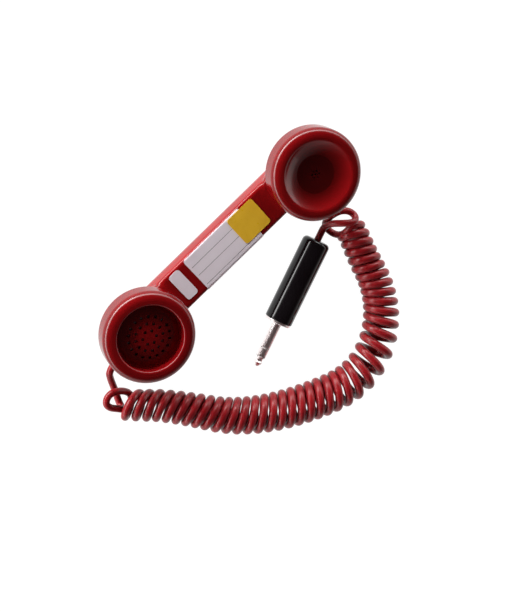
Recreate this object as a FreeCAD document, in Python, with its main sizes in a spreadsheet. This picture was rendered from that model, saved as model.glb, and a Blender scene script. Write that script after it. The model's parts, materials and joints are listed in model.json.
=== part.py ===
import FreeCAD, Part
import math
import os
import re

# Portable fire telephone handset, lying on its back with both caps up.
# X runs from the mouth end to the ear end, Z up, the origin under the middle of the handle.

doc = FreeCAD.newDocument("fire_telephone_handset")
Vector = FreeCAD.Vector

SIZES = {
    # handle and cups
    "cup_spacing": 141.0,
    "cup_radius": 28.3,
    "cup_foot_radius": 15.7,
    "cup_foot_round": 10.0,
    "seam_height": 30.0,
    "handle_width": 26.4,
    "handle_thickness": 21.0,
    "flare_radius": 45.0,
    "flare_low": 9.0,
    "face_half_length": 38.3,
    "face_rise_length": 15.7,
    "back_round": 12.0,
    "face_round": 1.8,
    "cup_bore_radius": 22.0,
    "well_radius": 17.5,
    "well_floor": 8.5,
    "duct_width": 14.0,
    "duct_floor": 6.5,
    "duct_height": 9.0,
    "neck_radius": 25.6,
    "running_fit": 0.05,
    "soft_gap": 0.3,
    # caps
    "cap_radius": 29.0,
    "cap_height": 15.0,
    "rim_round": 5.2,
    "cap_wall": 2.2,
    "dish_radius": 22.0,
    "dish_depth": 5.5,
    "dish_flat_radius": 12.0,
    "dish_edge_round": 3.0,
    "ear_hole_radius": 0.6,
    "ear_hole_step": 2.2,
    "recess_radius": 20.6,
    "recess_depth": 6.5,
    "recess_edge_round": 1.6,
    "dome_rise": 3.5,
    "dome_radius": 19.4,
    "mouth_hole_radius": 1.0,
    "mouth_hole_step": 4.3,
    "gasket_height": 2.2,
    "gasket_radius": 21.1,
    "gasket_bore": 17.6,
    # capsules
    "receiver_depth": 14.5,
    "transmitter_depth": 13.5,
    "can_radius": 21.4,
    "can_wall": 0.8,
    "can_floor": 1.0,
    "capsule_grille": 1.0,
    "capsule_hole_radius": 1.0,
    "capsule_hole_step": 4.5,
    "diaphragm_thickness": 0.3,
    "diaphragm_drop": 1.9,
    "frame_bore": 16.0,
    "magnet_radius": 14.0,
    "magnet_bore": 6.5,
    "magnet_height": 5.0,
    "top_plate": 1.5,
    "pole_radius": 4.4,
    "coil_bore": 4.8,
    "coil_radius": 5.5,
    "top_plate_bore": 5.8,
    "screw_radius": 1.3,
    "screw_head_radius": 2.6,
    "screw_head": 1.5,
    "screw_offset": 8.0,
    "terminal_floor": 2.0,
    "terminal_wall": 1.0,
    "terminal_depth": 4.0,
    "third_screw_offset": 3.0,
    "spring_width": 4.0,
    "spring_strip": 0.4,
    "spring_length": 12.0,
    "spring_rise": 3.2,
    "chamber_radius": 8.0,
    "chamber_wall": 1.2,
    "electrode_radius": 5.5,
    # labels
    "label_thickness": 0.15,
    "label_corner": 2.0,
    "white_low": -24.0,
    "white_high": 23.5,
    "white_wrap": 6.0,
    "white_tuck": 0.9,
    "yellow_low": 12.2,
    "yellow_high": 33.2,
    "yellow_width": 20.4,
    "yellow_offset": 1.1,
    "small_low": -37.6,
    "small_high": -29.2,
    "small_width": 20.2,
    "small_offset": 1.2,
    # cord
    "wire_diameter": 4.5,
    "cord_exit_angle": 14.0,
    "grommet_radius": 3.3,
    "grommet_flange_radius": 4.2,
    "grommet_flange": 1.5,
    "grommet_proud": 2.8,
    "cord_past_clamp": 1.7,
    "cord_first_run": 23.5,
    "cord_last_run": 6.0,
    "clamp_tab": 7.2,
    "clamp_screw_offset": 5.3,
    "clamp_screw_radius": 0.8,
    "clamp_screw_head": 1.5,
    "clamp_screw_depth": 1.8,
    "clamp_thickness": 0.7,
    "clamp_length": 4.0,
    "strand_radius": 0.65,
    "strand_spread": 1.2,
    "strand_side": 1.3,
    "lead_offset": 4.0,
    "lead_climb": 5.0,
    "foam_length": 30.0,
    "foam_gap": 0.2,
    "curl_turns": 39.0,
    "curl_end_diameter": 19.5,
    "curl_swell": 6.0,
    "curl_swell_power": 1.5,
    "curl_pitch_start": 6.3,
    "curl_pitch_end": 5.5,
    "curl_fan": 3.6,
    "curl_fan_place": 0.66,
    "curl_fan_spread": 22.0,
    "curl_side_lean": 1.4,
    "curl_start_lean": -5.0,
    "curl_finish_lean": 3.5,
    "floor_gap": 0.05,
    # plug
    "plug_rear_x": 47.93,
    "plug_rear_y": -45.51,
    "plug_angle": 201.5,
    "barrel_radius": 9.1,
    "barrel_length": 57.0,
    "barrel_rear_wall": 3.0,
    "barrel_round": 3.0,
    "barrel_mouth_round": 0.5,
    "barrel_travel": 5.0,
    "cord_hole_radius": 2.7,
    "liner_wall": 0.4,
    "liner_fit": 0.1,
    "liner_length": 38.0,
    "shoulder_radius": 8.7,
    "shoulder_length": 1.6,
    "shoulder_round": 0.5,
    "base_radius": 7.35,
    "base_length": 9.0,
    "shank_radius": 3.175,
    "shank_length": 31.0,
    "sleeve_length": 17.6,
    "insulator_length": 0.9,
    "insulator_radius": 2.95,
    "ring_length": 5.2,
    "tip_waist_radius": 2.1,
    "tip_waist_step": 1.2,
    "tip_crown_radius": 3.05,
    "tip_point_radius": 1.3,
    "tip_point_length": 0.5,
    "sleeve_bore": 2.3,
    "ring_tube_radius": 1.9,
    "ring_bore": 1.4,
    "rod_radius": 1.0,
    "stack_step": 2.0,
    "block_radius": 5.6,
    "block_length": 5.0,
    "lug_half_width": 1.5,
    "lug_thickness": 0.7,
    "lug_reach": 5.2,
    "lug_hold": 4.2,
    "lug_washer_radius": 3.0,
    "crimp_place": 32.0,
    "crimp_margin": 0.5,
}

sheet = doc.addObject("Spreadsheet::Sheet", "sizes")
for row, (word, number) in enumerate(SIZES.items(), start=1):
    sheet.set(f"A{row}", word)
    sheet.set(f"B{row}", str(number))
    sheet.setAlias(f"B{row}", word)
doc.recompute()

WORDS = re.compile(r"[a-z_]{3,}")
pieces = {}


def size(word):
    return float(sheet.get(word))


def bind(thing, **expressions):
    for path, text in expressions.items():
        thing.setExpression(path.replace("__", "."), WORDS.sub(r"sizes.\g<0>", text))


def worth(expression):
    """The number that an expression of sizes comes to."""
    mark = doc.addObject("Part::Vertex", "mark")
    bind(mark, X=expression)
    mark.recompute()
    number = mark.X.Value
    doc.removeObject(mark.Name)
    return number


def cylinder(name, radius, low, high, x="0", y="0"):
    thing = doc.addObject("Part::Cylinder", name)
    bind(thing, Radius=radius, Height=f"({high}) - ({low})",
         Placement__Base__x=x, Placement__Base__y=y, Placement__Base__z=low)
    return thing


def rod(name, radius, low, high, y="0", z="0"):
    """A cylinder that lies along X from low to high."""
    thing = doc.addObject("Part::Cylinder", name)
    thing.Placement = FreeCAD.Placement(Vector(), FreeCAD.Rotation(Vector(0, 1, 0), 90))
    bind(thing, Radius=radius, Height=f"({high}) - ({low})",
         Placement__Base__x=low, Placement__Base__y=y, Placement__Base__z=z)
    return thing


def box(name, x_low, x_high, y_low, y_high, z_low, z_high):
    thing = doc.addObject("Part::Box", name)
    bind(thing, Length=f"({x_high}) - ({x_low})", Width=f"({y_high}) - ({y_low})",
         Height=f"({z_high}) - ({z_low})",
         Placement__Base__x=x_low, Placement__Base__y=y_low, Placement__Base__z=z_low)
    return thing


def fuse(name, *parts):
    thing = doc.addObject("Part::MultiFuse", name)
    thing.Shapes = list(parts)
    return thing


def common(name, *parts):
    thing = doc.addObject("Part::MultiCommon", name)
    thing.Shapes = list(parts)
    return thing


def cut(name, base, *tools):
    thing = doc.addObject("Part::Cut", name)
    thing.Base = base
    thing.Tool = tools[0] if len(tools) == 1 else fuse(name + "_tools", *tools)
    return thing


def feature(name, shape):
    thing = doc.addObject("Part::Feature", name)
    thing.Shape = shape
    return thing


def rounded(name, base, radius, wanted):
    """A fillet on the edges of base that wanted(edge) picks."""
    doc.recompute()
    thing = doc.addObject("Part::Fillet", name)
    thing.Base = base
    picked = [(number, radius, radius) for number, edge in enumerate(base.Shape.Edges, start=1) if wanted(edge)]
    if not picked:
        raise ValueError(name + " found no edge")
    thing.Edges = picked
    return thing


def circle_edge(radius, height, x, slack=0.02):
    """Picks the round edges of this radius, at this height, centred on x."""
    def wanted(edge):
        room = edge.BoundBox
        return (abs(room.XLength - 2 * radius) < slack and abs(room.YLength - 2 * radius) < slack
                and room.ZLength < slack and abs(room.ZMin - height) < slack and abs(room.Center.x - x) < slack)
    return wanted


def piece(label, thing, placement=None):
    thing.Label = label
    if placement is not None:
        thing.Placement = placement
    pieces[label] = thing
    return thing


def hole_pattern(name, radius, step, rings, low, high, x, first=0):
    """Upright holes on rings of 6, 12, 18 and so on, with one in the middle when first is 0."""
    holes = []
    for ring in range(first, rings + 1):
        count = max(1, 6 * ring)
        for place in range(count):
            turn = 2 * math.pi * (place + 0.5 * (ring % 2)) / count
            spot = Vector(x + ring * step * math.cos(turn), ring * step * math.sin(turn), low)
            holes.append(Part.makeCylinder(radius, high - low, spot))
    return feature(name, Part.makeCompound(holes))


# Handle: a plan outline and a side outline, each padded, and what they share


def handle_plan():
    """The dog-bone outline seen from above: two cup circles, four flares and the bar."""
    centre = size("cup_spacing") / 2
    cup = size("cup_radius")
    flare = size("flare_radius")
    half = size("handle_width") / 2
    flare_y = half + flare
    flare_x = centre - math.sqrt((cup + flare) ** 2 - flare_y ** 2)
    share = cup / (cup + flare)
    meet = Vector(centre - (centre - flare_x) * share, flare_y * share, 0)
    edges = []
    for end in (1, -1):
        cup_end = Vector(end * (centre + cup), 0, 0)
        up = Vector(end * meet.x, meet.y, 0)
        down = Vector(end * meet.x, -meet.y, 0)
        edges.append(Part.Arc(up, cup_end, down))
        for side in (1, -1):
            start = Vector(end * flare_x, side * half, 0)
            stop = Vector(end * meet.x, side * meet.y, 0)
            turn = math.atan2(flare_y - meet.y, meet.x - flare_x)
            middle_turn = (math.pi / 2 + turn) / 2
            middle = Vector(end * (flare_x + flare * math.cos(middle_turn)),
                            side * (flare_y - flare * math.sin(middle_turn)), 0)
            edges.append(Part.Arc(start, middle, stop))
    for side in (1, -1):
        edges.append(Part.LineSegment(Vector(-flare_x, side * half, 0), Vector(flare_x, side * half, 0)))
    return edges


def face_scoop():
    """What is taken off between the cups, seen from the side: the flat label face and a rise at each end."""
    face = size("face_half_length")
    face_z = size("handle_thickness")
    seam = size("seam_height")
    rise_x = face + size("face_rise_length")
    rise_run = rise_x - face
    rise_radius = (rise_run ** 2 + (seam - face_z) ** 2) / (2 * (seam - face_z))
    above = seam + size("cap_wall")
    edges = [Part.LineSegment(Vector(-face, face_z, 0), Vector(face, face_z, 0)),
             Part.LineSegment(Vector(-rise_x, above, 0), Vector(rise_x, above, 0))]
    for end in (1, -1):
        rise_turn = math.asin(rise_run / rise_radius) / 2
        rise_middle = Vector(end * (face + rise_radius * math.sin(rise_turn)),
                             face_z + rise_radius * (1 - math.cos(rise_turn)), 0)
        edges.append(Part.Arc(Vector(end * face, face_z, 0), rise_middle, Vector(end * rise_x, seam, 0)))
        edges.append(Part.LineSegment(Vector(end * rise_x, seam, 0), Vector(end * rise_x, above, 0)))
    return edges


def padded_sketch(name, outline, placement, length, both_ways=False):
    sketch = doc.addObject("Sketcher::SketchObject", name + "_sketch")
    sketch.Placement = placement
    for edge in outline:
        sketch.addGeometry(edge, False)
    pad = doc.addObject("Part::Extrusion", name)
    pad.Base = sketch
    pad.DirMode = "Normal"
    pad.Solid = True
    pad.Symmetric = both_ways
    bind(pad, LengthFwd=length)
    return pad


def middle_of(edge):
    return edge.valueAt((edge.FirstParameter + edge.LastParameter) / 2)


def flared_cups():
    """The upper halves of both cups and the flares that join them, all narrowing downwards."""
    lift = FreeCAD.Placement(Vector(0, 0, size("seam_height")), FreeCAD.Rotation())
    plan = padded_sketch("handle_plan", handle_plan(), lift, "seam_height - flare_low")
    plan.Reversed = True
    narrowing = (size("cup_radius") - size("cup_foot_radius")) / size("seam_height")
    plan.TaperAngle = -math.degrees(math.atan(narrowing))
    upright = FreeCAD.Placement(Vector(), FreeCAD.Rotation(Vector(1, 0, 0), 90))
    scoop = padded_sketch("face_scoop", face_scoop(), upright, "4 * cup_radius", both_ways=True)
    scooped = cut("flares", plan, scoop)
    face_low = size("handle_thickness") - 0.01
    face_high = size("seam_height") - 0.5
    return rounded("flares_rounded", scooped, size("face_round"),
                   lambda edge: face_low < middle_of(edge).z < face_high and edge.BoundBox.XLength > 1)


def handle_bar():
    """The straight bar between the cups, round below and with small rounds beside the label face."""
    bar = box("bar", "-cup_spacing / 2", "cup_spacing / 2", "-handle_width / 2", "handle_width / 2",
              "0", "handle_thickness")
    back = rounded("bar_back", bar, size("back_round"),
                   lambda edge: edge.BoundBox.XLength > 1 and edge.BoundBox.ZMax < 0.01)
    face = size("handle_thickness") - 0.01
    return rounded("bar_face", back, size("face_round"),
                   lambda edge: edge.BoundBox.XLength > 1 and edge.BoundBox.ZMin > face)


def cup_foot(word, centre, x):
    """The lower half of a cup, a cone with a large round at its foot."""
    cone = doc.addObject("Part::Cone", word + "_cup_foot")
    bind(cone, Radius1="cup_foot_radius", Height="flare_low", Placement__Base__x=centre,
         Radius2="cup_foot_radius + (cup_radius - cup_foot_radius) * flare_low / seam_height")
    return rounded(word + "_cup_foot_rounded", cone, size("cup_foot_round"),
                   circle_edge(size("cup_foot_radius"), 0, x))


# Each cup's name, its centre along X, and how far its threaded neck stands above the seam
CUPS = (("ear", "cup_spacing / 2", "(cap_height - dish_depth - cap_wall - soft_gap)"),
        ("mouth", "-cup_spacing / 2", "(cap_height - recess_depth - cap_wall - soft_gap)"))
# Heights of the capsules' tops and seats, and the cord's place in the mouth cup
CAPSULE_TOPS = [f"(seam_height + {neck} - gasket_height - soft_gap)" for word, centre, neck in CUPS]
SEATS = [f"({top} - {depth})" for top, depth in zip(CAPSULE_TOPS, ("receiver_depth", "transmitter_depth"))]
EXIT_HEIGHT = "(well_floor + grommet_flange_radius + soft_gap)"
CLAMP_START = "(well_radius - grommet_flange - soft_gap - clamp_length)"
CUP_RADIUS_AT_EXIT = f"(cup_foot_radius + (cup_radius - cup_foot_radius) * {EXIT_HEIGHT} / seam_height)"
GROMMET_END = f"({CUP_RADIUS_AT_EXIT} + grommet_proud)"


def handle_shell():
    outer = [flared_cups(), handle_bar()]
    hollows = []
    for (word, centre, neck), seat, end in zip(CUPS, SEATS, (1, -1)):
        outer.append(cup_foot(word, centre, end * size("cup_spacing") / 2))
        outer.append(cylinder(word + "_neck", "neck_radius", "seam_height - cap_wall",
                              f"seam_height + {neck}", x=centre))
        high = "seam_height + cap_height"
        hollows.append(cylinder(word + "_bore", "cup_bore_radius", seat, high, x=centre))
        hollows.append(cylinder(word + "_well", "well_radius", "well_floor", high, x=centre))
    hollows.append(box("duct", "-cup_spacing / 2", "cup_spacing / 2", "-duct_width / 2", "duct_width / 2",
                       "duct_floor", "duct_floor + duct_height"))
    hollows.append(cord_way())
    return piece("handle_shell", cut("handle", fuse("handle_outside", *outer), *hollows))


def cord_place():
    """A frame on the mouth cup's axis whose X runs out along the cord's exit."""
    turn = FreeCAD.Rotation(Vector(0, 0, 1), 180 + size("cord_exit_angle"))
    return FreeCAD.Placement(Vector(-size("cup_spacing") / 2, 0, worth(EXIT_HEIGHT)), turn)


def cord_way():
    """The stepped hole for the grommet and the blind hole for the clamp's screw."""
    hole = rod("grommet_hole", "grommet_radius", "well_radius - grommet_flange", GROMMET_END)
    seat = rod("grommet_seat", "grommet_flange_radius", "well_radius - 2 * grommet_flange", "well_radius")
    floor = f"well_floor - {EXIT_HEIGHT}"
    pilot = cylinder("clamp_pilot", "clamp_screw_radius", f"{floor} - clamp_screw_depth", floor,
                     x=CLAMP_START + " + clamp_length / 2", y="clamp_screw_offset")
    way = fuse("cord_way", hole, seat, pilot)
    way.Placement = cord_place()
    return way


def cap_blank(word, centre, neck, x):
    """A plain cap with a rounded rim, and the bore that takes the threaded neck."""
    skirt_low = "seam_height + soft_gap"
    ceiling = f"seam_height + {neck} + soft_gap"
    body = cylinder(word + "_cap_body", "cap_radius", skirt_low, "seam_height + cap_height", x=centre)
    rim = rounded(word + "_cap_rim", body, size("rim_round"),
                  circle_edge(size("cap_radius"), size("seam_height") + size("cap_height"), x))
    bore = cylinder(word + "_cap_bore", "neck_radius + running_fit", skirt_low, ceiling, x=centre)
    return rim, bore


def receiver_cap():
    word, centre, neck = CUPS[0]
    x = size("cup_spacing") / 2
    rim, bore = cap_blank(word, centre, neck, x)
    top = size("seam_height") + size("cap_height")
    floor = top - size("dish_depth")
    wide = size("dish_radius")
    flat = size("dish_flat_radius")
    ball_height = (wide ** 2 + top ** 2 - flat ** 2 - floor ** 2) / (2 * size("dish_depth"))
    ball_radius = math.hypot(wide, ball_height - top)
    dish = Part.makeSphere(ball_radius, Vector(x, 0, ball_height))
    dish = dish.common(Part.makeCylinder(wide, top, Vector(x, 0, floor)))
    holes = hole_pattern("ear_holes", size("ear_hole_radius"), size("ear_hole_step"), 1,
                         size("seam_height"), top, x)
    open_cap = cut("ear_cap_dished", rim, feature("ear_dish", dish), bore, holes)
    edge = rounded("ear_cap_edged", open_cap, size("dish_edge_round"), circle_edge(wide, top, x))
    return piece("receiver_cap", edge)


def transmitter_cap():
    word, centre, neck = CUPS[1]
    x = -size("cup_spacing") / 2
    rim, bore = cap_blank(word, centre, neck, x)
    top = size("seam_height") + size("cap_height")
    floor = top - size("recess_depth")
    wide = size("recess_radius")
    dome_radius = (size("dome_radius") ** 2 + size("dome_rise") ** 2) / (2 * size("dome_rise"))
    dome_centre = Vector(x, 0, floor + size("dome_rise") - dome_radius)
    recess = Part.makeCylinder(wide, top, Vector(x, 0, floor))
    recess = recess.cut(Part.makeSphere(dome_radius, dome_centre))
    inner_dome = Part.makeSphere(dome_radius - size("cap_wall"), dome_centre)
    inner_dome = inner_dome.common(Part.makeCylinder(size("dome_radius"), top, Vector(x, 0, size("seam_height"))))
    holes = hole_pattern("mouth_holes", size("mouth_hole_radius"), size("mouth_hole_step"), 3,
                         size("seam_height"), top, x, first=1)
    open_cap = cut("mouth_cap_recessed", rim, feature("mouth_recess", recess), bore,
                   feature("mouth_inside", inner_dome), holes)
    edge = rounded("mouth_cap_edged", open_cap, size("recess_edge_round"), circle_edge(wide, top, x))
    return piece("transmitter_cap", edge)


def ring(label, outer, inner, low, high, centre):
    hole = cylinder(label + "_hole", inner, low, high, x=centre)
    return piece(label, cut(label + "_ring", cylinder(label + "_disc", outer, low, high, x=centre), hole))


def gasket(label, centre, neck):
    """The soft ring in a cap that presses on its capsule."""
    high = f"seam_height + {neck}"
    return ring(label, "gasket_radius", "gasket_bore", f"{high} - gasket_height", high, centre)


def terminal_screws(label, centre, places, top, floor):
    """Cheese-head screws, slotted, that pass up through a floor, heads below."""
    parts = []
    slots = []
    for number, (x, y) in enumerate(places):
        name = f"{label}_{number}"
        parts.append(cylinder(name + "_head", "screw_head_radius", f"{floor} - screw_head", floor,
                              x=f"{centre} + {x}", y=y))
        parts.append(cylinder(name + "_shank", "screw_radius", f"{floor} - screw_head", top,
                              x=f"{centre} + {x}", y=y))
        slots.append(box(name + "_slot", f"{centre} + {x} - screw_head_radius",
                         f"{centre} + {x} + screw_head_radius", f"{y} - spring_strip", f"{y} + spring_strip",
                         f"{floor} - screw_head", f"{floor} - screw_head / 2"))
    return piece(label, cut(label + "_slotted", fuse(label + "_blank", *parts), *slots))


def receiver():
    centre = CUPS[0][1]
    x = size("cup_spacing") / 2
    top = CAPSULE_TOPS[0]
    seat = SEATS[0]
    floor = f"{seat} + can_floor"
    grille_low = f"{top} - capsule_grille"
    membrane_high = f"{grille_low} - diaphragm_drop"
    membrane_low = f"{membrane_high} - diaphragm_thickness"
    inside = "can_radius - can_wall"
    places = (("screw_offset", "0"), ("-screw_offset", "0"))
    can = cylinder("receiver_can_outside", "can_radius", seat, top, x=centre)
    hollow = cylinder("receiver_can_inside", inside, floor, top, x=centre)
    shanks = [cylinder(f"receiver_can_hole_{number}", "screw_radius", seat, floor, x=f"{centre} + {along}")
              for number, (along, across) in enumerate(places)]
    piece("receiver_can", cut("receiver_can_cut", can, hollow, *shanks))
    grille = cylinder("receiver_grille_disc", inside, grille_low, top, x=centre)
    holes = hole_pattern("receiver_grille_holes", size("capsule_hole_radius"), size("capsule_hole_step"), 3,
                         worth(grille_low), worth(top), x)
    piece("receiver_grille", cut("receiver_grille_cut", grille, holes))
    ring("receiver_clamp_ring", inside, f"{inside} - 2 * can_wall", membrane_high, grille_low, centre)
    piece("receiver_diaphragm", cylinder("receiver_membrane", inside, membrane_low, membrane_high, x=centre))
    magnet_low = f"{floor} + terminal_floor"
    plate_low = f"{magnet_low} + magnet_height"
    plate_high = f"{plate_low} + top_plate"
    basket = cylinder("receiver_basket", inside, floor, membrane_low, x=centre)
    bowl = cylinder("receiver_basket_bowl", "frame_bore", magnet_low, membrane_low, x=centre)
    screw_ways = [cylinder(f"receiver_basket_way_{number}", "screw_radius", floor, magnet_low,
                           x=f"{centre} + {along}") for number, (along, across) in enumerate(places)]
    piece("receiver_frame", cut("receiver_frame_cut", basket, bowl, *screw_ways))
    ring("receiver_magnet", "magnet_radius", "magnet_bore", magnet_low, plate_low, centre)
    ring("receiver_top_plate", "magnet_radius", "top_plate_bore", plate_low, plate_high, centre)
    piece("receiver_pole", cylinder("receiver_pole_rod", "pole_radius", magnet_low, plate_high, x=centre))
    ring("receiver_voice_coil", "coil_radius", "coil_bore", f"{plate_low} - top_plate", membrane_low, centre)
    terminal_screws("receiver_terminal_screws", centre, places, magnet_low, seat)


def transmitter():
    centre = CUPS[1][1]
    x = -size("cup_spacing") / 2
    top = CAPSULE_TOPS[1]
    seat = SEATS[1]
    tray_floor = f"{seat} + terminal_floor"
    tray_top = f"{seat} + terminal_depth"
    places = (("screw_offset", "screw_offset"), ("screw_offset", "-screw_offset"), ("-third_screw_offset", "0"))
    tray = cylinder("terminal_tray", "can_radius", seat, tray_top, x=centre)
    hollow = cylinder("terminal_tray_hollow", "can_radius - terminal_wall", tray_floor, tray_top, x=centre)
    ways = [cylinder(f"terminal_tray_way_{number}", "screw_radius", seat, tray_floor,
                     x=f"{centre} + {along}", y=across) for number, (along, across) in enumerate(places)]
    piece("transmitter_terminal_cup", cut("terminal_cup_cut", tray, hollow, *ways))
    terminal_screws("transmitter_terminal_screws", centre, places, tray_floor, seat)
    springs = []
    for number, side in enumerate(("", "-")):
        y_low = f"{side}screw_offset - spring_width / 2"
        y_high = f"{side}screw_offset + spring_width / 2"
        base_high = f"{tray_floor} + spring_strip"
        arm_x = f"{centre} - spring_length / 2"
        springs.append(fuse(
            f"contact_spring_{number}",
            box(f"spring_base_{number}", arm_x, f"{centre} + screw_offset + screw_radius", y_low, y_high,
                tray_floor, base_high),
            box(f"spring_riser_{number}", arm_x, f"{arm_x} + spring_strip", y_low, y_high,
                tray_floor, f"{tray_floor} + spring_rise"),
            box(f"spring_finger_{number}", arm_x, f"{centre} - spring_strip", y_low, y_high,
                f"{tray_floor} + spring_rise - spring_strip", f"{tray_floor} + spring_rise")))
    piece("transmitter_contact_springs", fuse("contact_springs", *springs))
    can_low = f"{tray_floor} + spring_rise"
    can_floor = f"{can_low} + can_floor"
    inside = "can_radius - terminal_wall - can_wall"
    grille_low = f"{top} - capsule_grille"
    membrane_high = f"{grille_low} - diaphragm_drop"
    membrane_low = f"{membrane_high} - diaphragm_thickness"
    can = cylinder("transmitter_can_outside", "can_radius - terminal_wall", can_low, top, x=centre)
    piece("transmitter_can", cut("transmitter_can_cut", can,
                                 cylinder("transmitter_can_inside", inside, can_floor, top, x=centre)))
    holes = hole_pattern("transmitter_grille_holes", size("capsule_hole_radius"), size("capsule_hole_step"), 3,
                         worth(grille_low), worth(top), x)
    piece("transmitter_grille", cut("transmitter_grille_cut",
                                    cylinder("transmitter_grille_disc", inside, grille_low, top, x=centre), holes))
    ring("transmitter_clamp_ring", inside, f"{inside} - 2 * can_wall", membrane_high, grille_low, centre)
    piece("transmitter_diaphragm", cylinder("transmitter_membrane", inside, membrane_low, membrane_high, x=centre))
    ring("transmitter_support_ring", inside, f"{inside} - 2 * can_wall", can_floor, membrane_low, centre)
    chamber = cylinder("carbon_chamber_outside", "chamber_radius", can_floor, membrane_low, x=centre)
    powder_room = cylinder("carbon_chamber_inside", "chamber_radius - chamber_wall", f"{can_floor} + chamber_wall",
                           membrane_low, x=centre)
    piece("transmitter_carbon_chamber", cut("carbon_chamber", chamber, powder_room))
    piece("transmitter_electrode", cylinder("electrode", "electrode_radius", f"{membrane_low} - chamber_wall",
                                            membrane_low, x=centre))


def flat_label(label, low, high, width, offset, lift):
    """A thin label with round corners on the label face."""
    plate = box(label + "_plate", low, high, f"{offset} - {width} / 2", f"{offset} + {width} / 2",
                f"handle_thickness + {lift}", f"handle_thickness + {lift} + label_thickness")
    thickness = size("label_thickness")
    corners = rounded(label + "_cornered", plate, size("label_corner"),
                      lambda edge: abs(edge.BoundBox.ZLength - thickness) < 0.001)
    return piece(label, corners)


def rounded_bar(name, grow):
    """The straight part of the handle as a bar, this much larger all round its label face."""
    bar = box(name, "white_low", "white_high", f"-handle_width / 2 - {grow}", f"handle_width / 2 + {grow}",
              "handle_thickness / 2", f"handle_thickness + {grow}")
    top = size("handle_thickness") + (size(grow) if grow != "0" else 0)
    radius = size("face_round") + top - size("handle_thickness")
    return rounded(name + "_rounded", bar, radius,
                   lambda edge: edge.BoundBox.XLength > 1 and edge.BoundBox.ZMin > top - 0.01)


def white_label():
    """The large label, which lies over the face and folds round the handle's edge on one side."""
    skin = cut("white_skin", rounded_bar("white_outer_bar", "label_thickness"), rounded_bar("white_inner_bar", "0"))
    window = box("white_window", "white_low", "white_high", "-handle_width", "handle_width / 2 - white_tuck",
                 "handle_thickness - white_wrap", "2 * handle_thickness")
    high = size("handle_thickness") - size("white_wrap")
    corners = rounded("white_window_cornered", window, size("label_corner"),
                      lambda edge: edge.BoundBox.YLength > 1 and edge.BoundBox.ZMax < high + 0.01
                      or edge.BoundBox.ZLength > 1 and edge.BoundBox.YMin > 0)
    return piece("label_white", common("label_white_trimmed", skin, corners))


def tangent_path(points):
    """Straight runs joined by tangent arcs, each as large as its two runs allow."""
    runs = [(after - before).Length for before, after in zip(points, points[1:])]
    edges = []
    radii = []
    start = points[0]
    for number in range(1, len(points) - 1):
        corner = points[number]
        back = (points[number - 1] - corner).normalize()
        ahead = (points[number + 1] - corner).normalize()
        turn = math.pi - back.getAngle(ahead)
        reach = 0.45 * min(runs[number - 1], runs[number])
        radius = reach / math.tan(turn / 2)
        radii.append(round(radius, 1))
        leave = corner + ahead * reach
        middle = corner + (back + ahead).normalize() * (math.hypot(radius, reach) - radius)
        edges.append(Part.LineSegment(start, corner + back * reach).toShape())
        edges.append(Part.Arc(corner + back * reach, middle, leave).toShape())
        start = leave
    edges.append(Part.LineSegment(start, points[-1]).toShape())
    return Part.Wire(edges), radii


def tube(wire, radius):
    first = wire.Edges[0]
    start = first.valueAt(first.FirstParameter)
    way = first.tangentAt(first.FirstParameter)
    section = Part.Wire(Part.makeCircle(radius, start, way))
    return wire.makePipeShell([section], True, False)


def wires(label, routes):
    """Thin insulated wires, each along its own points."""
    solids = [tube(tangent_path(points)[0], size("strand_radius")) for points in routes]
    return piece(label, feature(label + "_tubes", Part.makeCompound(solids)))


def grommet():
    collar = rod("grommet_collar", "grommet_radius", "well_radius - grommet_flange", GROMMET_END)
    flange = rod("grommet_inner_flange", "grommet_flange_radius", "well_radius - grommet_flange", "well_radius")
    bore = rod("grommet_bore", "wire_diameter / 2", "well_radius - grommet_flange", GROMMET_END)
    piece("cord_grommet", cut("grommet_bored", fuse("grommet_body", collar, flange), bore), cord_place())


def anchor():
    """A strap round the cord with a foot that is screwed to the floor of the cup."""
    floor = f"well_floor - {EXIT_HEIGHT}"
    start = CLAMP_START
    stop = CLAMP_START + " + clamp_length"
    outer = "wire_diameter / 2 + clamp_thickness"
    strap = rod("anchor_strap", outer, start, stop)
    web = box("anchor_web", start, stop, "wire_diameter / 2", outer, floor, "0")
    foot = box("anchor_foot", start, stop, "wire_diameter / 2", "clamp_tab", floor,
               f"{floor} + clamp_thickness")
    middle = CLAMP_START + " + clamp_length / 2"
    hole = cylinder("anchor_hole", "clamp_screw_radius", floor, f"{floor} + clamp_thickness",
                    x=middle, y="clamp_screw_offset")
    bore = rod("anchor_bore", "wire_diameter / 2", start, stop)
    piece("cord_anchor", cut("anchor", fuse("anchor_blank", strap, web, foot), bore, hole), cord_place())
    head_low = f"{floor} + clamp_thickness"
    shank = cylinder("anchor_screw_shank", "clamp_screw_radius", f"{floor} - clamp_screw_depth", head_low,
                     x=middle, y="clamp_screw_offset")
    head = cylinder("anchor_screw_head", "clamp_screw_head", head_low, f"{head_low} + clamp_thickness",
                    x=middle, y="clamp_screw_offset")
    piece("anchor_screw", fuse("anchor_screw_whole", shank, head), cord_place())


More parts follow.
